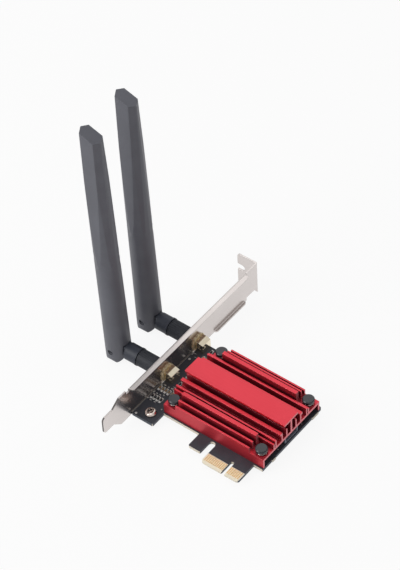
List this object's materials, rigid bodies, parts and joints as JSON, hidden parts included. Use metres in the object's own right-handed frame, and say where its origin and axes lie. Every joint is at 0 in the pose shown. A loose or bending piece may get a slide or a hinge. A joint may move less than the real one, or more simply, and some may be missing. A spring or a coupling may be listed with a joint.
{
  "type": "pcie wifi card",
  "caption": "Plug-in wireless network card with a finned heat sink over its module, a slot bracket and hinged screw-on antennas.",
  "frame": {"origin": "middle of the key notch, at the contact edge, on the component face of the board", "axes": "+X from the bracket to the free end, +Y away from the contact edge, +Z out of the component face and along the raised antennas"},
  "size_m": [0.1123, 0.12, 0.1468],
  "materials": {
    "solder_mask": "matte black solder mask over glass-fibre board",
    "gold_plate": "gold plate",
    "bracket_plate": "bright nickel plate",
    "screw_plate": "nickel plate",
    "red_anodised": "red anodised, satin",
    "pin_nylon": "moulded nylon",
    "spring_wire": "bright spring wire",
    "thermal_pad": "soft silicone pad",
    "module_mask": "solder mask",
    "tin_plate": "tin plate",
    "black_nylon": "moulded nylon",
    "capacitor_body": "ceramic with tinned ends",
    "resistor_body": "ceramic with tinned ends",
    "lead_jacket": "extruded jacket",
    "jack_gold": "pale gold plate",
    "ptfe": "white insulator",
    "nut_brass": "turned",
    "antenna_plastic": "moulded, fine matte texture",
    "hinge_steel": "bright pin",
    "radiator_copper": "copper"
  },
  "bodies": {
    "card": {"circuit_board": "solder_mask", "edge_contacts": "gold_plate", "slot_bracket": "bracket_plate", "bracket_screw": "screw_plate", "heat_sink": "red_anodised", "push_pins": "pin_nylon", "pin_springs": "spring_wire", "thermal_pad": "thermal_pad", "wifi_module": "module_mask", "module_shield": "tin_plate", "module_socket": "black_nylon", "module_standoff": "nut_brass", "module_screw": "screw_plate", "usb_header": "black_nylon", "header_pins": "gold_plate", "chip_capacitors": "capacitor_body", "chip_resistors": "resistor_body", "lead_jacks": "gold_plate", "lead_plugs": "gold_plate", "coax_lead_near": "lead_jacket", "antenna_jack_near": "jack_gold", "jack_insulator_near": "ptfe", "jack_contact_near": "gold_plate", "lock_washer_near": "jack_gold", "panel_nut_near": "jack_gold", "coax_lead_far": "lead_jacket", "antenna_jack_far": "jack_gold", "jack_insulator_far": "ptfe", "jack_contact_far": "gold_plate", "lock_washer_far": "jack_gold", "panel_nut_far": "jack_gold"},
    "plug_near": {"plug_ferrule_near": "nut_brass", "plug_core_near": "ptfe", "plug_socket_near": "gold_plate"},
    "coupling_near": {"nut_insert_near": "nut_brass", "nut_grip_near": "antenna_plastic"},
    "swivel_near": {"knuckle_near": "antenna_plastic"},
    "antenna_near": {"blade_near": "antenna_plastic", "hinge_pin_near": "hinge_steel", "radiator_strip_near": "radiator_copper"},
    "plug_far": {"plug_ferrule_far": "nut_brass", "plug_core_far": "ptfe", "plug_socket_far": "gold_plate"},
    "coupling_far": {"nut_insert_far": "nut_brass", "nut_grip_far": "antenna_plastic"},
    "swivel_far": {"knuckle_far": "antenna_plastic"},
    "antenna_far": {"blade_far": "antenna_plastic", "hinge_pin_far": "hinge_steel", "radiator_strip_far": "radiator_copper"}
  },
  "joints": [
    {"name": "near_draw", "type": "slide", "parent": "card", "child": "plug_near", "axis": [-1, 0, 0], "range_m": [0, 0.00353]},
    {"name": "near_unscrew", "type": "hinge", "parent": "plug_near", "child": "coupling_near", "pos_m": [-0.065, 0.0318, 0.0031], "axis": [-1, 0, 0], "range_deg": [0, 1800]},
    {"name": "near_swivel", "type": "hinge", "parent": "plug_near", "child": "swivel_near", "pos_m": [-0.075, 0.0318, 0.0031], "axis": [1, 0, 0], "range_deg": [0, 180]},
    {"name": "near_tilt", "type": "hinge", "parent": "swivel_near", "child": "antenna_near", "pos_m": [-0.08721, 0.0318, 0.0031], "axis": [0, -0.9999, -0.0113], "range_deg": [-1.2, 88.8]},
    {"name": "far_draw", "type": "slide", "parent": "card", "child": "plug_far", "axis": [-1, 0, 0], "range_m": [0, 0.00353]},
    {"name": "far_unscrew", "type": "hinge", "parent": "plug_far", "child": "coupling_far", "pos_m": [-0.065, 0.0558, 0.0031], "axis": [-1, 0, 0], "range_deg": [0, 1800]},
    {"name": "far_swivel", "type": "hinge", "parent": "plug_far", "child": "swivel_far", "pos_m": [-0.075, 0.0558, 0.0031], "axis": [-1, 0, 0], "range_deg": [0, 180]},
    {"name": "far_tilt", "type": "hinge", "parent": "swivel_far", "child": "antenna_far", "pos_m": [-0.08721, 0.0558, 0.0031], "axis": [0, -0.9998, 0.0175], "range_deg": [-2.25, 87.75]}
  ],
  "couplings": [
    {"joint": "near_unscrew", "follows": "near_draw", "rad_per_m": 8904.7},
    {"joint": "far_unscrew", "follows": "far_draw", "rad_per_m": 8904.7}
  ]
}
